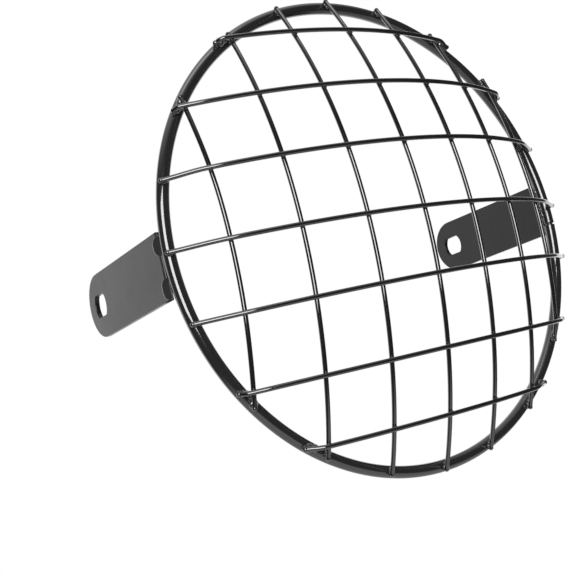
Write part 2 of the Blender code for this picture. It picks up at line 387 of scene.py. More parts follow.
class Forge:
    """The geometry node trees that make what repeats or follows a path."""

    def __init__(self) -> None:
        """Build each tree once."""
        self.drawn_rod = self.build_drawn_rod()
        self.weld_spots = self.build_weld_spots()

    def build_drawn_rod(self) -> Tree:
        """Round rod or wire along a path.

        Returns:
            A tree that sweeps a round section along the path, as thick at
            each point as the path's "thickness" says.
        """
        inputs = {
            "Path": ("Geometry", None),
            "Radius": ("Float", 0.001),
            "Sides": ("Int", 16),
            "Finish": ("Material", None),
        }
        desk = GroupDesk("drawn_rod", "Geometry", inputs, ("Solid", "Geometry"))
        given = desk.given
        path = desk.add("GeometryNodeMeshToCurve", Mesh=given["Path"])
        circle = {"Resolution": given["Sides"], "Radius": given["Radius"]}
        swept = desk.add(
            "GeometryNodeCurveToMesh",
            Curve=path.outputs["Curve"],
            Profile_Curve=desk.add("GeometryNodeCurvePrimitiveCircle", **circle).outputs["Curve"],
            Scale=self.read(desk, "thickness", "FLOAT"),
            Fill_Caps=True,
        )
        return self.finish(desk, swept.outputs["Mesh"])

    def build_weld_spots(self) -> Tree:
        """Small lumps of weld metal at given points.

        Returns:
            A tree that sets one lump at each point, turned and stretched as
            the point says, and roughens the metal.
        """
        inputs = {
            "Points": ("Geometry", None),
            "Lumpiness": ("Float", 0.0003),
            "Lumps": ("Float", 500.0),
            "Seed": ("Float", 1.0),
            "Finish": ("Material", None),
        }
        desk = GroupDesk("weld_spots", "Geometry", inputs, ("Solid", "Geometry"))
        euler = self.read(desk, "turn", "FLOAT_VECTOR")
        turn = desk.add("FunctionNodeEulerToRotation", Euler=euler)
        ball = desk.add("GeometryNodeMeshIcoSphere", Radius=1.0, Subdivisions=4)
        placed = desk.add(
            "GeometryNodeInstanceOnPoints",
            Points=desk.given["Points"],
            Instance=ball.outputs["Mesh"],
            Rotation=turn.outputs["Rotation"],
            Scale=self.read(desk, "stretch", "FLOAT_VECTOR"),
        )
        return self.finish(desk, self.roughen(desk, placed.outputs["Instances"]))

    def read(self, desk: GroupDesk, name: str, kind: str) -> Socket:
        """Read a named attribute of the points that a tree works on."""
        node = desk.add("GeometryNodeInputNamedAttribute", {"data_type": kind}, Name=name)
        return node.outputs["Attribute"]

    def roughen(self, desk: GroupDesk, shape: Socket) -> Socket:
        """Push a shape's skin in and out by a noise.

        Args:
            desk: The desk of the tree, which is given Lumpiness, Lumps and Seed.
            shape: The shape's output socket.

        Returns:
            The roughened shape's output socket.
        """
        whole = desk.add("GeometryNodeRealizeInstances", Geometry=shape)
        noise = desk.noise(W=desk.given["Seed"], Scale=desk.given["Lumps"], Detail=2.0)
        height = desk.math("MULTIPLY", desk.math("SUBTRACT", noise, 0.5), desk.given["Lumpiness"])
        normal = desk.add("GeometryNodeInputNormal").outputs["Normal"]
        push = desk.add("ShaderNodeVectorMath", {"operation": "SCALE"}, Vector=normal, Scale=height)
        moves = {"Geometry": whole.outputs["Geometry"], "Offset": push.outputs["Vector"]}
        return desk.add("GeometryNodeSetPosition", **moves).outputs["Geometry"]

    def finish(self, desk: GroupDesk, shape: Socket) -> Tree:
        """End a tree: smooth shading, real instances and the material.

        Args:
            desk: The desk of the tree, which is given a Finish.
            shape: The shape's output socket.

        Returns:
            The finished tree.
        """
        smooth = desk.add("GeometryNodeSetShadeSmooth", Geometry=shape)
        real = desk.add("GeometryNodeRealizeInstances", Geometry=smooth.outputs["Geometry"])
        dress = {"Geometry": real.outputs["Geometry"], "Material": desk.given["Finish"]}
        return desk.close(desk.add("GeometryNodeSetMaterial", **dress).outputs["Geometry"])


def add_object(name: str, data: bpy.types.ID) -> Piece:
    """Put a mesh, lamp or camera in the scene as one object.

    Args:
        name: The object's name.
        data: What it shows.

    Returns:
        The object, at the origin.
    """
    made = bpy.data.objects.new(name, data)
    bpy.context.scene.collection.objects.link(made)
    return made


def close_shape(name: str, shape: Shape, material: Material) -> Piece:
    """Turn a mesh in the making into an object with one material.

    Args:
        name: The object's name.
        shape: The mesh in the making, which is freed.
        material: Its material.

    Returns:
        The object, at the origin.
    """
    mesh = bpy.data.meshes.new(name)
    shape.to_mesh(mesh)
    shape.free()
    mesh.materials.append(material)
    return add_object(name, mesh)


def skin_loops(shape: Shape, loops: list[list[bmesh.types.BMVert]], smooth: int) -> None:
    """Join closed loops of points, each to the next, with four-sided faces.

    Args:
        shape: The mesh that grows.
        loops: The loops, all with the same number of points.
        smooth: How many faces of each loop, from its start, are shaded smooth.
    """
    for lower, upper in zip(loops, loops[1:]):
        for k in range(len(lower)):
            after = (k + 1) % len(lower)
            face = shape.faces.new((lower[k], lower[after], upper[after], upper[k]))
            face.smooth = k < smooth


@dataclass(frozen=True)
class WeldLump:
    """One lump of weld metal."""

    place: Vector  # its middle
    turn: Euler
    size: Vector  # half sizes, in metres


@dataclass
class Workshop:
    """What the sub-assemblies share while they are made."""

    forge: Forge
    rod: Material
    wire: Material
    strap: Material
    weld: Material
    lumps: float = 900.0  # bumps per metre in the skin of weld metal
    seed: float = 3.0  # of those bumps

    def bake(self, name: str, mesh: Mesh, tree: Tree, values: dict[str, object]) -> Piece:
        """Run a geometry tree on a mesh and keep the result as a plain mesh.

        Args:
            name: Name of the finished piece.
            mesh: The path or points that the tree works on.
            tree: The geometry tree.
            values: The tree's inputs, by name.

        Returns:
            The finished piece, at the origin and without modifiers.
        """
        carrier = add_object(name + "_carrier", mesh)
        modifier = carrier.modifiers.new("tree", "NODES")
        modifier.node_group = tree
        for item in tree.interface.items_tree:
            if item.item_type == "SOCKET" and item.in_out == "INPUT" and item.name in values:
                modifier[item.identifier] = values[item.name]
        bpy.context.view_layer.update()
        evaluated = carrier.evaluated_get(bpy.context.evaluated_depsgraph_get())
        solid = bpy.data.meshes.new_from_object(evaluated)
        solid.name = name
        bpy.data.objects.remove(carrier, do_unlink=True)
        return add_object(name, solid)

    def hand_over(self, piece: Piece, *nodes: str) -> None:
        """Let a piece ride on the guard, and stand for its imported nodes.

        Args:
            piece: The finished piece.
            *nodes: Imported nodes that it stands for, if there are any.
        """
        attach(piece, "root")
        if nodes:
            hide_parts(*nodes)
        LOG.info("%s: %d faces", piece.name, len(piece.data.polygons))

    def draw_rod(
        self,
        name: str,
        places: list[Vector],
        thickness: list[float],
        values: dict[str, object],
        *nodes: str,
        closed: bool = False,
    ) -> None:
        """Make one piece of round rod or wire along a line.

        Args:
            name: Name of the piece.
            places: The line's points.
            thickness: For each point, its share of the full thickness.
            values: The rod's Radius, Sides and Finish.
            *nodes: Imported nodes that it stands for, if there are any.
            closed: Whether the last point joins the first.
        """
        count = len(places)
        edges = [(k, (k + 1) % count) for k in range(count if closed else count - 1)]
        mesh = bpy.data.meshes.new(name + "_path")
        mesh.from_pydata(places, edges, [])
        mesh.attributes.new("thickness", "FLOAT", "POINT").data.foreach_set("value", thickness)
        self.hand_over(self.bake(name, mesh, self.forge.drawn_rod, values), *nodes)

    def lay_lumps(self, name: str, lumps: list[WeldLump], lumpiness: float) -> None:
        """Make one piece of weld lumps.

        Args:
            name: Name of the piece.
            lumps: The lumps.
            lumpiness: How uneven their skin is, in metres.
        """
        mesh = bpy.data.meshes.new(name + "_points")
        mesh.from_pydata([lump.place for lump in lumps], [], [])
        turns = [lump.turn for lump in lumps]
        sizes = [lump.size for lump in lumps]
        for label, items in (("turn", turns), ("stretch", sizes)):
            layer = mesh.attributes.new(label, "FLOAT_VECTOR", "POINT")
            layer.data.foreach_set("vector", [value for item in items for value in item])
        values = {
            "Lumpiness": lumpiness,
            "Lumps": self.lumps,
            "Seed": self.seed,
            "Finish": self.weld,
        }
        self.hand_over(self.bake(name, mesh, self.forge.weld_spots, values))


@dataclass
class RodRing:
    """The ring of round rod, closed by a butt weld."""

    shop: Workshop
    outside_diameter: float = 0.200
    rod_diameter: float = 0.0048
    sides: int = 32  # faces round the rod
    steps: int = 240  # even steps round the ring
    close_steps: int = 20  # points on each side of the joint, closer towards it
    close_reach: float = 1.6  # how far they reach, in even steps
    joint_angle: float = -4.8  # degrees from +X towards +Z
    joint_ridge: float = 0.00012  # how far the joint's ridge stands proud
    joint_length: float = 0.0012  # half length of the ridge along the rod
    seam_depth: float = 0.0008  # of the open seam in the ridge
    seam_length: float = 0.0004  # half length of the seam along the rod

    @property
    def centre_radius(self) -> float:
        """Return the radius of the rod's centre line."""
        return (self.outside_diameter - self.rod_diameter) / 2

    def angles(self) -> list[float]:
        """Set points round the ring, closer together at the joint.

        Returns:
            Their angles, in radians from +X towards +Z.
        """
        joint = math.radians(self.joint_angle)
        even = [joint + 2 * math.pi * k / self.steps for k in range(2, self.steps - 1)]
        reach = 2 * math.pi / self.steps * self.close_reach
        shares = [k / self.close_steps for k in range(-self.close_steps, self.close_steps + 1)]
        return [joint + reach * share**3 for share in shares] + even

    def joint_thickness(self, angle: float) -> float:
        """Share of the rod's thickness at an angle.

        Args:
            angle: Angle round the ring, in radians.

        Returns:
            1 away from the joint, with a low ridge and a fine seam at it.
        """
        along = (angle - math.radians(self.joint_angle)) * self.centre_radius
        along = math.remainder(along, 2 * math.pi * self.centre_radius)
        ridge = self.joint_ridge * math.exp(-((along / self.joint_length) ** 2))
        seam = self.seam_depth * math.exp(-((along / self.seam_length) ** 4))
        return 1.0 + (ridge - seam) / (self.rod_diameter / 2)

    def build(self) -> None:
        """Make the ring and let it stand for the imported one."""
        angles = self.angles()
        places = [Vector((math.cos(a), 0.0, math.sin(a))) * self.centre_radius for a in angles]
        thickness = [self.joint_thickness(angle) for angle in angles]
        values = {"Radius": self.rod_diameter / 2, "Sides": self.sides, "Finish": self.shop.rod}
        self.shop.draw_rod("rod_ring", places, thickness, values, "ring", closed=True)


@dataclass(frozen=True)
class RowPlan:
    """How the wires of one row lie, each in its order."""

    inset: float  # how far the outermost wires lie inside the ring
    centre: float  # how far the middle wire lies off the middle
    wraps: tuple[float, float]  # degrees round the rim to the ends, the one at negative run first
    drift: tuple[float, ...]  # how far each wire lies off its even place
    slant: tuple[float, ...]  # degrees


PLANS = {
    Row.UPRIGHT: RowPlan(
        inset=0.0211,
        centre=-0.0039,
        wraps=(34.0, 36.0),
        drift=(0.0007, -0.0004, -0.0004, -0.0004, -0.0002, 0.0008, 0.0002),
        slant=(0.0, 0.7, 0.6, 0.3, 0.5, 0.0, -0.4),
    ),
    Row.CROSS: RowPlan(
        inset=0.0187,
        centre=0.0007,
        wraps=(46.0, 40.0),
        drift=(-0.0004, -0.0003, 0.0002, -0.0005, 0.0006, -0.0004, 0.0013),
        slant=(0.8, 1.1, 0.7, -0.1, 0.2, -0.4, -0.9),
    ),
}


@dataclass
class WireGrid:
    """The domed grid of wires, with the welds that hold it."""

    shop: Workshop
    ring: RodRing
    wire_diameter: float = 0.0018
    dome_depth: float = 0.0288  # how far the dome bulges in front of the ring's plane
    joint_gap: float = 0.0003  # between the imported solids, filled by weld metal
    per_row: int = 7  # wires in each row
    plans: dict[Row, RowPlan] = field(default_factory=lambda: dict(PLANS))
    last_wrap: float = -10.0  # degrees round the rim to the last upright's bottom end
    # How far the uprights' ends splay outwards, in degrees, the bottom ends first.
    splays: tuple[tuple[float, ...], tuple[float, ...]] = (
        (0.8, 0.0, 0.0, 0.0, 0.0, 0.5, 1.3),
        (1.6, 0.7, 0.8, 0.4, 0.0, 1.4, 3.2),
    )
    dome_steps: int = 44  # points along half a wire, up to the rim
    bend_steps: int = 18  # points round the rim
    sides: int = 16  # faces round a wire
    knob: float = 1.15  # how much thicker than the wire the ball at its cut end is
    knob_steps: int = 14  # points along each ball
    knob_flat: float = 0.02  # square of the ball's thickness at its very end
    knob_margin: float = 1.1  # how far the close points keep the others off, in balls
    spot_margin: float = 0.0015  # how far inside the rod's centre line the last crossing weld is
    spot_size: tuple[float, float, float] = (0.00090, 0.00090, 0.00060)  # half sizes
    spot_lumpiness: float = 0.0003
    # How far from a cut end each lump on the rim is, and its share of the full size.
    fillets: tuple[tuple[float, float], ...] = ((0.0005, 0.55), (0.0014, 0.85), (0.0026, 0.72))
    # Half sizes of a full lump there: along the wire, beside it and out.
    fillet_size: tuple[float, float, float] = (0.0012, 0.0013, 0.0009)
    fillet_sink: float = 0.55  # depth under the wire's centre line, in wire diameters
    fillet_lumpiness: float = 0.0004

    def __post_init__(self) -> None:
        """Work out the dome that the wires follow."""
        self.wire_radius = self.wire_diameter / 2
        self.seat_radius = self.ring.rod_diameter / 2 + self.joint_gap + self.wire_radius
        rim, seat, rise = self.ring.centre_radius, self.seat_radius, self.dome_depth
        self.sphere_radius = (rim**2 + rise**2 - seat**2) / (2 * (rise - seat))
        self.sphere_centre = self.sphere_radius - rise
        self.seat_angle = math.asin(rim / (self.sphere_radius - seat))

    def on_dome(self, reach: float, standoff: float) -> tuple[float, float]:
        """Place on the dome, lifted off it.

        Args:
            reach: Distance from the guard's axis.
            standoff: How far the place is lifted.

        Returns:
            The lifted place's distance from the axis, and its Y.
        """
        angle = math.asin(reach / self.sphere_radius)
        radius = self.sphere_radius + standoff
        return radius * math.sin(angle), self.sphere_centre - radius * math.cos(angle)

    def on_rim(self, angle: float, standoff: float) -> tuple[float, float]:
        """Return the reach and Y of a lifted place, at an angle from the rod's front outwards."""
        radius = self.seat_radius + standoff
        return self.ring.centre_radius + radius * math.sin(angle), -radius * math.cos(angle)

    def over_rim(self, angle: float) -> tuple[float, float]:
        """Measure the dome over a place round the rod.

        Args:
            angle: Angle from the rod's front towards its outside.

        Returns:
            The dome's reach over the place, and how high it stands off it.
        """
        reach, depth = self.on_rim(angle, 0.0)
        to_centre = math.hypot(reach, self.sphere_centre - depth)
        return self.sphere_radius * reach / to_centre, self.sphere_radius - to_centre

    def offset(self, row: Row, index: int) -> float:
        """Distance of a wire from the guard's middle plane.

        Args:
            row: The wire's row.
            index: Its place in the row, from 0 at the left or at the top.

        Returns:
            The distance along +X for an upright, or along +Z for a cross wire.
        """
        plan = self.plans[row]
        half = (self.per_row - 1) / 2
        pitch = (self.ring.centre_radius - plan.inset) / half
        place = index - half if row is Row.UPRIGHT else half - index
        return plan.centre + pitch * place + plan.drift[index]

    def turn(self, row: Row, index: int) -> Matrix:
        """Return the rotation that slants one wire."""
        sign = 1 if row is Row.UPRIGHT else -1
        return Matrix.Rotation(math.radians(sign * self.plans[row].slant[index]), 3, "Y")

    def point(self, row: Row, run: float, offset: float, depth: float) -> Vector:
        """Return the place at a run along a wire, before its slant."""
        return Vector((offset, depth, run)) if row is Row.UPRIGHT else Vector((run, depth, offset))

    def splayed(
        self, row: Row, index: int, side: float, run: float, offset: float
    ) -> tuple[float, float]:
        """Turn a point of a wire outwards round the guard's axis.

        Args:
            row: The wire's row.
            index: Its place in the row.
            side: Which end, positive for the one at positive run.
            run: The point's run, counted away from the middle.
            offset: The point's offset.

        Returns:
            The turned run and offset.
        """
        if row is Row.CROSS:
            return run, offset
        rim_run = math.sqrt(self.ring.centre_radius**2 - self.offset(row, index) ** 2)
        angle = math.radians(self.splays[side > 0][index]) * self.smooth_rise(run / rim_run)
        turned_run = run * math.cos(angle) - abs(offset) * math.sin(angle)
        turned_offset = abs(offset) * math.cos(angle) + run * math.sin(angle)
        return turned_run, math.copysign(turned_offset, offset)

    def smooth_rise(self, share: float) -> float:
        """Return a rise from 0 to 1 with a level start and end."""
        share = min(max(share, 0.0), 1.0)
        return share * share * (3.0 - 2.0 * share)

    def last_crossing(self, row: Row, offset: float, side: int) -> float:
        """Run to the last wire that a wire crosses inside the ring.

        Args:
            row: The wire's row.
            offset: The wire's offset.
            side: 1 towards the end of its run, -1 towards the start.

        Returns:
            The run, counted away from the middle.
        """
        other = Row.CROSS if row is Row.UPRIGHT else Row.UPRIGHT
        runs = []
        for index in range(self.per_row):
            place = self.offset(other, index)
            if math.hypot(place, offset) < self.ring.centre_radius:
                runs.append(side * self.splayed(other, index, offset, abs(offset), place)[1])
        return max(runs)

    def half_path(self, row: Row, index: int, side: int) -> list[tuple[float, float, float]]:
        """Points from the middle of a wire out to one cut end.

        Args:
            row: The wire's row.
            index: Its place in the row.
            side: Which end.

        Returns:
            For each point its run, its offset and its Y.
        """
        offset = self.offset(row, index)
        standoff = 0.0 if row is Row.UPRIGHT else self.wire_diameter + self.joint_gap
        last = row is Row.UPRIGHT and index == self.per_row - 1 and side < 0
        wrap = math.radians(self.last_wrap if last else self.plans[row].wraps[side > 0])
        dome_reach, sink = self.over_rim(min(wrap, self.seat_angle))
        level_run = self.last_crossing(row, offset, side) + self.wire_radius
        end_run = math.sqrt(max(dome_reach, self.on_rim(wrap, 0.0)[0]) ** 2 - offset**2)
        dome_run = math.sqrt(dome_reach**2 - offset**2)
        bend_steps = self.bend_steps if wrap > self.seat_angle else 0
        points = []
        for step in range(self.dome_steps + bend_steps + 1):
            on_dome = step <= self.dome_steps
            bend = max(step - self.dome_steps, 0) / self.bend_steps
            angle = self.seat_angle + (wrap - self.seat_angle) * bend
            if on_dome:
                run = dome_run * math.sin(math.pi / 2 * step / self.dome_steps)
            else:
                run = math.sqrt(self.on_rim(angle, 0.0)[0] ** 2 - offset**2)
            fall = self.smooth_rise((run - level_run) / (end_run - level_run))
            height = standoff * (1.0 - fall) - sink * fall
            reach = math.hypot(run, offset)
            grown, depth = self.on_dome(reach, height) if on_dome else self.on_rim(angle, height)
            run, place = self.splayed(row, index, side, run * grown / reach, offset * grown / reach)
            points.append((side * run, place, depth))
        return points

    def wire_places(self, row: Row, index: int) -> list[Vector]:
        """Follow one wire from cut end to cut end.

        Args:
            row: The wire's row.
            index: Its place in the row.

        Returns:
            The wire's centre line.
        """
        before = self.half_path(row, index, -1)[::-1]
        after = self.half_path(row, index, 1)[1:]
        turn = self.turn(row, index)
        return [turn @ self.point(row, *place) for place in before + after]

    def runs(self, places: list[Vector]) -> list[float]:
        """Measure along a line.

        Args:
            places: The line's points.

        Returns:
            Each point's distance along the line from its start.
        """
        runs = [0.0]
        for before, after in zip(places, places[1:]):
            runs.append(runs[-1] + (after - before).length)
        return runs

    def thickness(self, places: list[Vector]) -> list[float]:
        """Thickness along a wire, with a rounded knob at each cut end.

        Args:
            places: The wire's centre line.

        Returns:
            For each point, its share of the wire's own thickness.
        """
        runs = self.runs(places)
        shares = []
        for run in runs:
            to_end = min(run, runs[-1] - run) / self.wire_radius
            ball = math.sqrt(max(self.knob**2 - (to_end - self.knob) ** 2, self.knob_flat))
            shares.append(ball if to_end < self.knob else max(ball, 1.0))
        return shares

    def at_run(self, places: list[Vector], runs: list[float], run: float) -> Vector:
        """Find a place on a line by its distance from the start.

        Args:
            places: The line's points.
            runs: Their distances from its start.
            run: The distance to find.

        Returns:
            The place, between the two points beside it.
        """
        after = next(k for k in range(1, len(runs)) if runs[k] >= run or k == len(runs) - 1)
        share = (run - runs[after - 1]) / (runs[after] - runs[after - 1])
        return places[after - 1].lerp(places[after], share)

    def with_cut_ends(self, places: list[Vector]) -> list[Vector]:
        """Set close points in the balls at a line's two ends.

        Args:
            places: The wire's centre line.

        Returns:
            The line, with its points closest where the balls are steepest.
        """
        runs = self.runs(places)
        ball = self.knob * self.wire_radius
        turns = [math.pi * k / self.knob_steps for k in range(self.knob_steps + 1)]
        near = [ball * (1.0 - math.cos(turn)) for turn in turns]
        start = [self.at_run(places, runs, run) for run in near]
        end = [self.at_run(places, runs, runs[-1] - run) for run in near[::-1]]
        margin = self.knob_margin * near[-1]
        middle = [place for place, run in zip(places, runs) if margin < run < runs[-1] - margin]
        return start + middle + end

    def build_wires(self) -> None:
        """Make the wires of both rows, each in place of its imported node."""
        values = {"Radius": self.wire_radius, "Sides": self.sides, "Finish": self.shop.wire}
        for row in Row:
            for index in range(self.per_row):
                places = self.with_cut_ends(self.wire_places(row, index))
                name = f"wire_{row.value}{index + 1}"
                self.shop.draw_rod("drawn_" + name, places, self.thickness(places), values, name)

    def crossings(self) -> list[tuple[Vector, Vector]]:
        """Find the spots where the two rows cross inside the ring.

        Returns:
            For each spot its place, midway between the wires, and the
            dome's outward normal there.
        """
        spots = []
        centre = Vector((0.0, self.sphere_centre, 0.0))
        for upright in range(self.per_row):
            line = self.wire_places(Row.UPRIGHT, upright)
            for cross in range(self.per_row):
                turn = self.turn(Row.CROSS, cross)
                middle = turn @ Vector((0.0, 0.0, self.offset(Row.CROSS, cross)))
                across = turn @ Vector((0.0, 0.0, 1.0))
                heights = [(place - middle).dot(across) for place in line]
                for k in range(len(line) - 1):
                    if not heights[k] < 0.0 <= heights[k + 1]:
                        continue
                    place = line[k].lerp(line[k + 1], heights[k] / (heights[k] - heights[k + 1]))
                    if math.hypot(place.x, place.z) < self.ring.centre_radius - self.spot_margin:
                        normal = (place - centre).normalized()
                        lift = normal * (self.wire_diameter + self.joint_gap) / 2
                        spots.append((place + lift, normal))
        return spots

    def build_welds(self) -> None:
        """Make the weld metal at the crossings and on the rim."""
        lumps = []
        for place, normal in self.crossings():
            turn = normal.to_track_quat("Z", "Y").to_euler()
            lumps.append(WeldLump(place, turn, Vector(self.spot_size)))
        self.shop.lay_lumps("crossing_welds", lumps, self.spot_lumpiness)
        lumps = []
        for row in Row:
            for index in range(self.per_row):
                line = self.wire_places(row, index)
                lumps += self.rim_fillets(line) + self.rim_fillets(line[::-1])
        self.shop.lay_lumps("rim_welds", lumps, self.fillet_lumpiness)

    def rim_fillets(self, end: list[Vector]) -> list[WeldLump]:
        """Lay weld metal on both sides of one wire where it lies on the rim.

        Args:
            end: The wire's centre line, from this cut end onwards.

        Returns:
            The lumps, side by side along the wire. They are further apart
            and larger where the wire crosses the rim obliquely.
        """
        runs = self.runs(end)
        radial = Vector((end[0].x, 0.0, end[0].z)).normalized()
        oblique = 1.0 / abs((end[-1] - end[0]).normalized().dot(radial))
        lumps = []
        for distance, size in self.fillets:
            index = next(k for k, run in enumerate(runs) if run >= distance * oblique)
            spot = end[index]
            along = (end[min(index + 1, len(end) - 1)] - end[max(index - 1, 0)]).normalized()
            rim = Vector((spot.x, 0.0, spot.z)).normalized() * self.ring.centre_radius
            out = (spot - rim).normalized()
            beside = along.cross(out).normalized()
            out = beside.cross(along).normalized()
            turn = Matrix((along, beside, out)).transposed().to_euler()
            place = spot - out * (self.fillet_sink * self.wire_diameter)
            lumps.append(WeldLump(place, turn, Vector(self.fillet_size) * (size * oblique)))
        return lumps

    def build(self) -> None:
        """Make the wires and their welds."""
        self.build_wires()
        self.build_welds()


@dataclass(frozen=True)
class BeadSection:
    """Section of a weld bead, across the joint from the rod to the plate's outer face."""

    front: float = 0.0008  # where its skin leaves the rod, behind the ring's plane
    rear: float = 0.0054  # where it ends on the plate
    climb: float = -0.0009  # height above the plate's face at which it leaves the rod
    climb_power: float = 2.2  # how soon it leaves that height
    lip: float = 0.0016  # sets the height of the rounded lip at its rear
    lip_power: float = 1.2  # how late the lip rises
    lip_round: int = 6  # how tightly it is rounded

    def height(self, share: float) -> float:
        """Return the skin's height over the plate's face, at a share of the way from the rod."""
        swell = share**self.lip_power * math.sqrt(max(1.0 - share**self.lip_round, 0.0))
        return self.climb * (1.0 - share) ** self.climb_power + self.lip * swell


@dataclass
class SideBracket:
    """A flat strap with a full round end and a slot, welded behind the ring."""

    shop: Workshop
    ring: RodRing
    side: Side
    height: float  # of its middle above the ring's
    thickness: float = 0.0020
    width: float = 0.0265
    taper: float = 0.0020  # how much narrower it is at the ring
    reach: float = 0.0680  # how far the slot is behind the ring's plane
    toe_out: float = 2.0  # degrees
    slot_length: float = 0.0124  # diameter of the slot's round hole
    slot_width: float = 0.0092  # between the slot's flats
    joint_gap: float = 0.0003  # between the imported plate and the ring
    edge_round: float = 0.00030  # radius of the plate's broken edges
    edge_steps: int = 4  # round a broken edge
    sharpest: float = 0.4  # least share that an inset is divided by, at a sharp corner
    side_steps: int = 12  # along each long side
    end_steps: int = 48  # round the round end
    slot_steps: int = 24  # round each of the slot's two arcs
    section: BeadSection = BeadSection()
    # Name, height and length of each bead on the outer face.
    outer_beads: tuple[tuple[str, float, float], ...] = (
        ("upper", 0.0070, 0.0067),
        ("lower", -0.0083, 0.0075),
    )
    bead_rows: int = 44  # steps along a bead
    bead_columns: int = 30  # steps across it
    bead_end: float = 0.995  # share of its half length at which its ends are cut off
    bead_blunt: float = 0.3  # share of its width that is left at its ends
    bead_fall: float = 0.6  # how late its height falls off towards them
    # Size, pace along the bead and share of its phase of each swing of its rim.
    bead_swings: tuple[tuple[float, float, float], ...] = ((0.05, 4.0, 1.0), (0.03, 9.0, 2.3))
    bead_shift: float = 40.0  # how much the phase differs between beads, per metre
    bead_waves: float = 3.2  # ripples along half a bead
    bead_bow: float = 0.9  # how far the ripples lag across it, in ripples
    bead_ripple: float = 0.00003  # height of its ripples
    bead_root: float = 0.0006  # how deep it is sunk in the plate
    bead_sink: float = 0.0001  # how deep its rear edge is sunk
    # Height and half sizes of each lump on the inner face: along the joint, across, out.
    inner_lumps: tuple[tuple[float, float, float, float], ...] = (
        (0.0084, 0.0024, 0.0015, 0.0013),
        (0.0060, 0.0012, 0.0012, 0.0010),
        (0.0037, 0.0011, 0.0010, 0.0009),
        (0.0014, 0.0012, 0.0011, 0.0011),
        (-0.0003, 0.0009, 0.0010, 0.0009),
        (-0.0028, 0.0024, 0.0014, 0.0013),
        (-0.0070, 0.0020, 0.0011, 0.0009),
    )
    lump_depth: float = 0.0037  # how far the lumps lie inside the plate's outer face
    lump_back: float = 0.0019  # how far they lie behind the ring's plane
    lump_lean: float = 0.707  # sine and cosine of their lean in the corner
    lump_lumpiness: float = 0.0005
    root_radius: float = 0.0006  # of the thin run of metal along the joint
    root_steps: int = 40
    root_sides: int = 20  # faces round it
    root_sink: float = 0.0001  # how deep it is sunk in the rod and in the plate
    root_swell: float = 0.06  # how much its thickness changes along it
    root_pace: float = 9.0  # how soon it changes
    root_thinning: float = 0.5  # how much thinner its section is at its ends
    root_round: int = 6  # how late it gets thinner

    def outline(self) -> list[Vector]:
        """Draw the strap's outline.

        Returns:
            Its points; X runs back and Y runs up.
        """
        front = self.ring.rod_diameter / 2 + self.joint_gap
        half = self.width / 2
        front_half = half - self.taper / 2
        steps = self.side_steps
        corner = Vector((front, -front_half, 0))
        shoulder = Vector((self.reach, -half, 0))
        points = [Vector((front, front_half, 0))]
        points += [corner.lerp(shoulder, k / steps) for k in range(steps)]
        for step in range(self.end_steps + 1):
            angle = -math.pi / 2 + math.pi * step / self.end_steps
            points.append(Vector((self.reach + half * math.cos(angle), half * math.sin(angle), 0)))
        shoulder.y = half
        points += [shoulder.lerp(points[0], k / steps) for k in range(1, steps)]
        return points

    def slot(self) -> list[Vector]:
        """Draw the slot's outline: a round hole cut off by two flats.

        Returns:
            Its points, the other way round than the strap's.
        """
        radius = self.slot_length / 2
        reach = math.asin(self.slot_width / self.slot_length)
        points = []
        for start in (0.0, math.pi):
            for step in range(self.slot_steps + 1):
                angle = start - reach + 2 * reach * step / self.slot_steps
                place = (self.reach + radius * math.cos(angle), radius * math.sin(angle), 0)
                points.append(Vector(place))
        return points[::-1]

    def rounded_wall(self, shape: Shape, loop: list[Vector]) -> tuple[Edges, Edges]:
        """Add the wall round one outline, with both edges broken.

        Args:
            shape: The mesh that grows.
            loop: The outline, with the plate on its left.

        Returns:
            The edges at the inner face and those at the outer face.
        """
        count = len(loop)
        insets = []
        for k in range(count):
            before = (loop[k] - loop[k - 1]).normalized()
            after = (loop[(k + 1) % count] - loop[k]).normalized()
            lean = (before + after).normalized()
            inward = Vector((-lean.y, lean.x, 0.0))
            share = inward.dot(Vector((-after.y, after.x, 0.0)))
            insets.append(inward / max(share, self.sharpest))
        levels = []
        for step in range(self.edge_steps + 1):
            angle = math.pi / 2 * step / self.edge_steps
            inset, depth = 1.0 - math.sin(angle), 1.0 - math.cos(angle)
            levels.append((inset * self.edge_round, depth * self.edge_round))
        levels += [(inset, self.thickness - depth) for inset, depth in levels[::-1]]
        rings = []
        for inset, depth in levels:
            places = [(depth, *(loop[k] + insets[k] * inset).xy) for k in range(count)]
            rings.append([shape.verts.new(place) for place in places])
        skin_loops(shape, rings, count)
        inner, outer = (
            [shape.edges.get((ring[k], ring[(k + 1) % count])) for k in range(count)]
            for ring in (rings[0], rings[-1])
        )
        return inner, outer

    def placing(self) -> Matrix:
        """Work out how the plate's own frame lies in the guard's.

        Returns:
            The matrix from the one to the other. In the plate's frame X runs
            inwards from its outer face, Y runs back and Z runs up.
        """
        side = self.side.value
        half = self.ring.outside_diameter / 2
        stand = Matrix.Translation((side * half, 0.0, self.height))
        toe = Matrix.Rotation(-side * math.radians(self.toe_out), 4, "Z")
        return stand @ toe @ Matrix.Diagonal((-side, 1.0, 1.0, 1.0))

    def set_in_place(self, shape: Shape, name: str, node: str, finish: Material) -> None:
        """Move a shape from the plate's frame to the guard's and hand it over.

        Args:
            shape: The shape, which is freed.
            name: Name of the piece.
            node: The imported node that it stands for.
            finish: Its material.
        """
        bmesh.ops.transform(shape, matrix=self.placing(), verts=shape.verts)
        bmesh.ops.recalc_face_normals(shape, faces=shape.faces)
        self.shop.hand_over(close_shape(name, shape, finish), node)

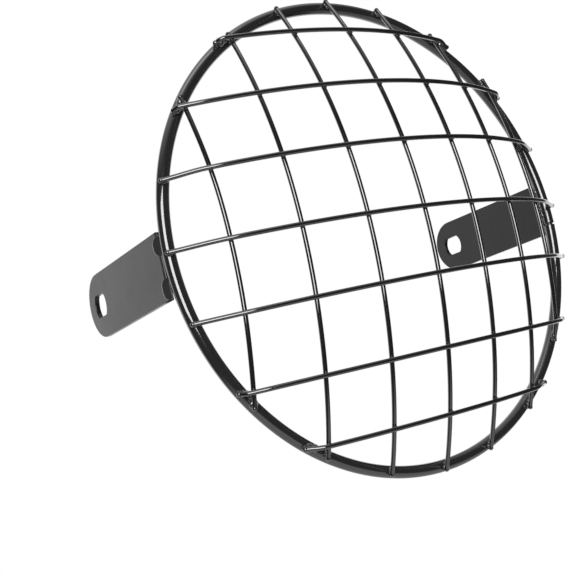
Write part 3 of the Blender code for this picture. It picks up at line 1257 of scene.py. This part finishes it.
    def build_plate(self) -> None:
        """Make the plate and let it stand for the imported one."""
        shape = bmesh.new()
        outer_ends = self.rounded_wall(shape, self.outline())
        slot_ends = self.rounded_wall(shape, self.slot())
        for outside, hole in zip(outer_ends, slot_ends):
            bmesh.ops.triangle_fill(shape, edges=outside + hole, use_beauty=True)
        node = f"bracket_{self.side.word}"
        self.set_in_place(shape, "painted_" + node, node, self.shop.strap)

    def bead_skin(self, middle: float, length: float, phase: float) -> Shape:
        """Make one bead: a lens between the rod and the plate's outer face.

        Args:
            middle: Height of its middle, from the plate's middle.
            length: Its length along the joint.
            phase: Sets where its rim and its ripples are uneven.

        Returns:
            The closed bead, in the plate's frame.
        """
        section = self.section
        shape = bmesh.new()
        loops = []
        for row in range(self.bead_rows + 1):
            along = self.bead_end * (2 * row / self.bead_rows - 1)
            fullness = math.sqrt(1.0 - along**2)
            breadth = self.bead_blunt + (1.0 - self.bead_blunt) * fullness
            uneven = 1.0
            for size, pace, lag in self.bead_swings:
                uneven += size * math.sin(pace * along + lag * phase)
            rear = section.front + (section.rear - section.front) * breadth * uneven
            places = []
            for column in range(self.bead_columns + 1):
                share = column / self.bead_columns
                turns = self.bead_waves * along - self.bead_bow * share**2
                wave = math.sin(2.0 * math.pi * turns + phase)
                ripple = self.bead_ripple * wave * fullness * share * (1.0 - share) * 4.0
                height = section.height(share) * fullness**self.bead_fall + ripple
                height -= self.bead_sink * share
                places.append((section.front + (rear - section.front) * share, height))
            places += [(rear, -self.bead_root), (section.front, -self.bead_root)]
            level = middle + along * length / 2
            loops.append([shape.verts.new((-rise, back, level)) for back, rise in places])
        skin_loops(shape, loops, self.bead_columns)
        shape.faces.new(loops[0])
        shape.faces.new(loops[-1])
        return shape

    def build_beads(self) -> None:
        """Make the weld beads on the outer face and the lumps on the inner one."""
        for word, middle, length in self.outer_beads:
            node = f"weld_{self.side.word}_{word}"
            phase = self.side.value + self.bead_shift * middle
            shape = self.bead_skin(middle, length, phase)
            self.set_in_place(shape, "laid_" + node, node, self.shop.weld)
        lean = self.lump_lean
        corner = Matrix(((0.0, lean, lean), (0.0, lean, -lean), (1.0, 0.0, 0.0)))
        turn = (self.placing().to_3x3() @ corner).to_quaternion().to_euler()
        lumps = []
        for level, *size in self.inner_lumps:
            place = self.placing() @ Vector((self.lump_depth, self.lump_back, level))
            lumps.append(WeldLump(place, turn, Vector(size)))
        self.shop.lay_lumps(f"inner_welds_{self.side.word}", lumps, self.lump_lumpiness)

    def build_root_fill(self) -> None:
        """Fill the joint between the rod and the plate with a thin run of metal."""
        half = (self.width - self.taper) / 2 - 2 * self.edge_round
        back = self.ring.rod_diameter / 2 + self.joint_gap / 2 - self.root_sink
        places, shares = [], []
        for step in range(self.root_steps + 1):
            share = 2 * step / self.root_steps - 1
            place = Vector((self.root_radius + self.root_sink, back, share * half))
            places.append(self.placing() @ place)
            swell = 1.0 + self.root_swell * math.sin(self.root_pace * share)
            shares.append(swell * math.sqrt(1.0 - self.root_thinning * share**self.root_round))
        values = {"Radius": self.root_radius, "Sides": self.root_sides, "Finish": self.shop.strap}
        self.shop.draw_rod(f"root_fill_{self.side.word}", places, shares, values)

    def build(self) -> None:
        """Make the plate, its weld beads and the run of metal in the joint."""
        self.build_plate()
        self.build_beads()
        self.build_root_fill()


@dataclass(frozen=True)
class Softbox:
    """One rectangular studio lamp that points at the guard."""

    name: str
    place: tuple[float, float, float]
    width: float
    height: float
    radiance: float  # of its face, where 1 is white

    def hang(self) -> None:
        """Hang the lamp with its face towards the ring's centre."""
        data = bpy.data.lights.new(self.name, "AREA")
        data.shape = "RECTANGLE"
        data.size = self.width
        data.size_y = self.height
        data.energy = self.radiance * math.pi * self.width * self.height
        lamp = add_object(self.name, data)
        lamp.location = self.place
        lamp.rotation_euler = (-Vector(self.place)).to_track_quat("-Z", "Y").to_euler()
        lamp.visible_camera = False


@dataclass
class Studio:
    """Lamps, surroundings, floor and camera."""

    softboxes: tuple[Softbox, ...]
    dim: float = 0.35  # strength of the surroundings for light that isn't seen or mirrored
    room: float = 0.05  # strength of the mirrored room behind the camera
    ceiling: float = 0.7  # strength of the mirrored floor and ceiling
    lean: float = 0.2  # how far the white half of the mirrored room turns from +Y towards +X
    narrowing: float = 0.25  # how much that half closes in upwards and downwards
    white_from: tuple[float, float] = (0.35, 0.47)  # where it starts and is full
    ceiling_from: tuple[float, float] = (0.55, 0.95)  # where the ceiling starts and is full
    floor_height: float = -0.30
    floor_radius: float = 0.50
    floor_fade: tuple[float, float] = (0.45, 0.98)  # shares of the radius
    floor_colour: tuple[float, float, float, float] = (0.86, 0.86, 0.86, 1.0)
    floor_roughness: float = 0.8
    place: tuple[float, float, float] = (-0.20502, -0.24036, -0.05127)
    azimuth: float = 31.95  # degrees from +Y towards +X
    elevation: float = 6.92  # degrees upwards
    roll: float = 13.60  # degrees
    lens: float = 48.68  # millimetres
    sensor: float = 36.0  # millimetres across

    def build_world(self) -> None:
        """Make the surroundings: white to the eye, and partly in reflections."""
        world = bpy.data.worlds.new("studio_white")
        world.use_nodes = True
        bpy.context.scene.world = world
        desk = NodeDesk(world.node_tree)
        rays = desk.add("ShaderNodeLightPath").outputs
        ahead = desk.add("ShaderNodeTexCoord").outputs["Generated"]
        toward = desk.add("ShaderNodeSeparateXYZ", Vector=ahead).outputs
        upright = desk.math("ABSOLUTE", toward["Z"])
        leaning = desk.math("ADD", toward["Y"], desk.math("MULTIPLY", toward["X"], self.lean))
        beyond = desk.math("SUBTRACT", leaning, desk.math("MULTIPLY", upright, self.narrowing))
        white = desk.ramp(beyond, *self.white_from, kind="SMOOTHSTEP")
        over = desk.ramp(upright, *self.ceiling_from, self.room, self.ceiling, kind="SMOOTHSTEP")
        mirrored = desk.math("MULTIPLY", rays["Is Glossy Ray"], desk.math("MAXIMUM", white, over))
        fill = desk.math("MULTIPLY", rays["Is Diffuse Ray"], self.dim)
        seen = desk.math("ADD", rays["Is Camera Ray"], rays["Is Transmission Ray"])
        total = desk.math("ADD", seen, desk.math("ADD", mirrored, fill))
        desk.fill(
            world.node_tree.nodes["Background"],
            Color=(1.0, 1.0, 1.0, 1.0),
            Strength=desk.math("MINIMUM", total, 1.0),
        )

    def build_floor(self) -> None:
        """Make the pale floor, which fades into the white surroundings."""
        material = bpy.data.materials.new("pale_floor")
        material.use_nodes = True
        desk = NodeDesk(material.node_tree)
        place = desk.add("ShaderNodeTexCoord").outputs["Object"]
        flat = desk.add("ShaderNodeVectorMath", {"operation": "MULTIPLY"}, Vector=place)
        flat.inputs[1].default_value = (1.0, 1.0, 0.0)
        measure = {"operation": "LENGTH"}
        length = desk.add("ShaderNodeVectorMath", measure, Vector=flat.outputs["Vector"])
        start, end = (share * self.floor_radius for share in self.floor_fade)
        desk.fill(
            material.node_tree.nodes["Principled BSDF"],
            Alpha=desk.ramp(length.outputs["Value"], start, end, 1.0, 0.0, kind="SMOOTHSTEP"),
            Base_Color=self.floor_colour,
            Roughness=self.floor_roughness,
        )
        shape = bmesh.new()
        bmesh.ops.create_circle(shape, cap_ends=True, segments=96, radius=self.floor_radius)
        bmesh.ops.translate(shape, verts=shape.verts, vec=(0.0, 0.0, self.floor_height))
        close_shape("studio_floor", shape, material)

    def build_camera(self) -> None:
        """Stand the camera where the picture was taken from."""
        azimuth, elevation = math.radians(self.azimuth), math.radians(self.elevation)
        level = math.cos(elevation)
        ahead = Vector((level * math.sin(azimuth), level * math.cos(azimuth), math.sin(elevation)))
        right = Vector((math.cos(azimuth), -math.sin(azimuth), 0.0))
        turn = Matrix((right, right.cross(ahead), -ahead)).transposed()
        turn = turn @ Matrix.Rotation(-math.radians(self.roll), 3, "Z")
        data = bpy.data.cameras.new("studio_camera")
        data.lens = self.lens
        data.sensor_width = self.sensor
        data.sensor_fit = "HORIZONTAL"
        data.clip_start = 0.01
        data.clip_end = 20.0
        camera = add_object("studio_camera", data)
        camera.matrix_world = Matrix.Translation(self.place) @ turn.to_4x4()
        bpy.context.scene.camera = camera

    def build(self) -> None:
        """Set up the whole studio."""
        bpy.context.scene.view_settings.view_transform = "Standard"
        self.build_camera()
        self.build_world()
        self.build_floor()
        for softbox in self.softboxes:
            softbox.hang()
        LOG.info("studio: %d lamps", len(self.softboxes))


def main() -> None:
    """Build the guard's sub-assemblies and the studio, in order."""
    logging.basicConfig(level=logging.INFO, format="%(name)s: %(message)s")
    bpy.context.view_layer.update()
    groups = FinishGroups()
    shop = Workshop(
        forge=Forge(),
        rod=ROD_ENAMEL.material(groups),
        wire=WIRE_ENAMEL.material(groups),
        strap=STRAP_ENAMEL.material(groups),
        weld=WELD_ENAMEL.material(groups),
    )
    ring = RodRing(shop)
    ring.build()
    WireGrid(shop, ring).build()
    SideBracket(shop, ring, Side.LEFT, height=-0.0028).build()
    SideBracket(shop, ring, Side.RIGHT, height=0.0, lump_depth=0.0043, lump_back=0.0010).build()
    softboxes = (
        Softbox("key_box", (-0.80, -1.08, 0.22), width=0.90, height=0.90, radiance=7.2),
        Softbox("overhead", (-0.20, -0.40, 1.40), width=0.90, height=0.50, radiance=1.2),
    )
    Studio(softboxes).build()


if __name__ == "__main__":
    main()
